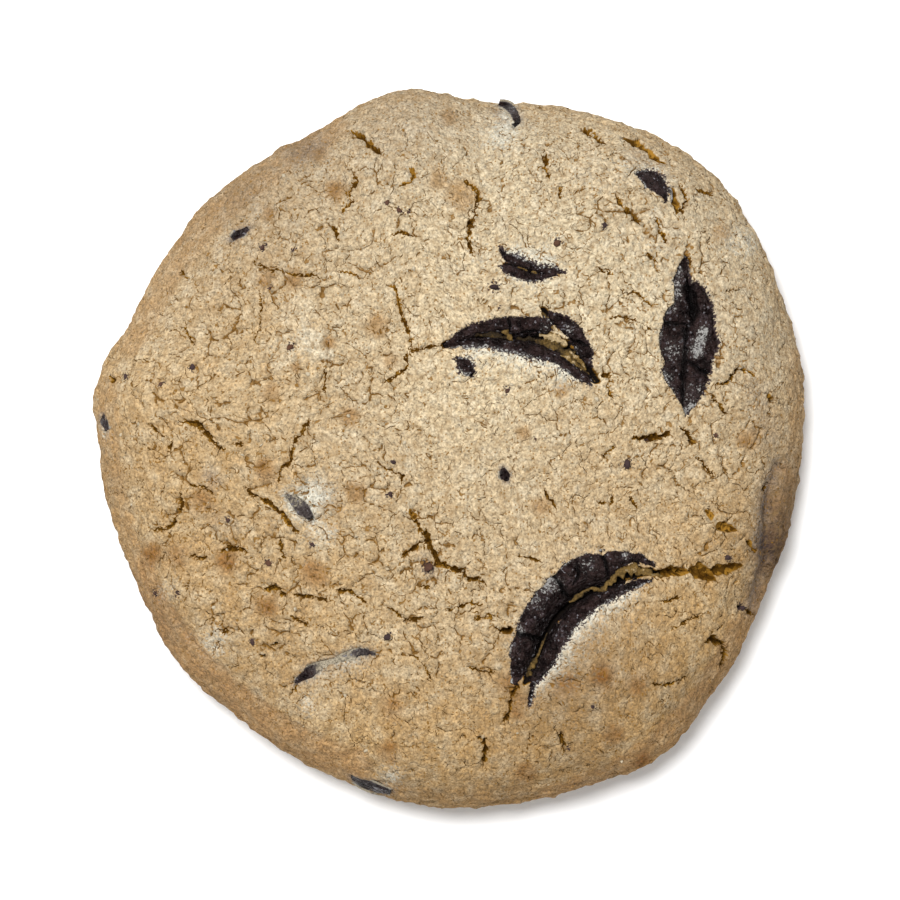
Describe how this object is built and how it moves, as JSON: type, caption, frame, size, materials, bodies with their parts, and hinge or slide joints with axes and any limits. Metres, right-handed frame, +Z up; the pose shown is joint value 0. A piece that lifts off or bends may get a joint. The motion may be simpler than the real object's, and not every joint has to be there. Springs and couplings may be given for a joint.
{
  "type": "chocolate chip cookie",
  "caption": "Thick round baked cookie with a cracked, floury crust, a flat underside and broken dark chocolate set in its top.",
  "frame": {"origin": "on the surface that the cookie lies on, under the middle of its outline", "axes": "+Z up, through the thickness; +Y towards the top of the cookie as it is seen from above, +X to the right"},
  "size_m": [0.0716, 0.0723, 0.0162],
  "materials": {
    "dough": "dry, matt, floury baked crust, golden brown in its cracks",
    "chocolate": "dark chocolate, semi-matt and grainy where it broke through the crust"
  },
  "bodies": {
    "root": {"dough": "dough", "chunk_arch_left": "chocolate", "chunk_arch_right": "chocolate", "chunk_arch_lower": "chocolate", "chunk_small_upper": "chocolate", "chunk_small_lower": "chocolate", "chunk_lens": "chocolate", "chunk_crescent_upper": "chocolate", "chunk_crescent_lower": "chocolate", "chunk_buried": "chocolate", "chip_corner": "chocolate", "chip_top_edge": "chocolate", "chip_bottom_edge": "chocolate", "chip_left_edge": "chocolate", "chip_left": "chocolate", "chip_dot": "chocolate", "fleck_upper_left": "chocolate", "fleck_centre": "chocolate"}
  },
  "joints": []
}
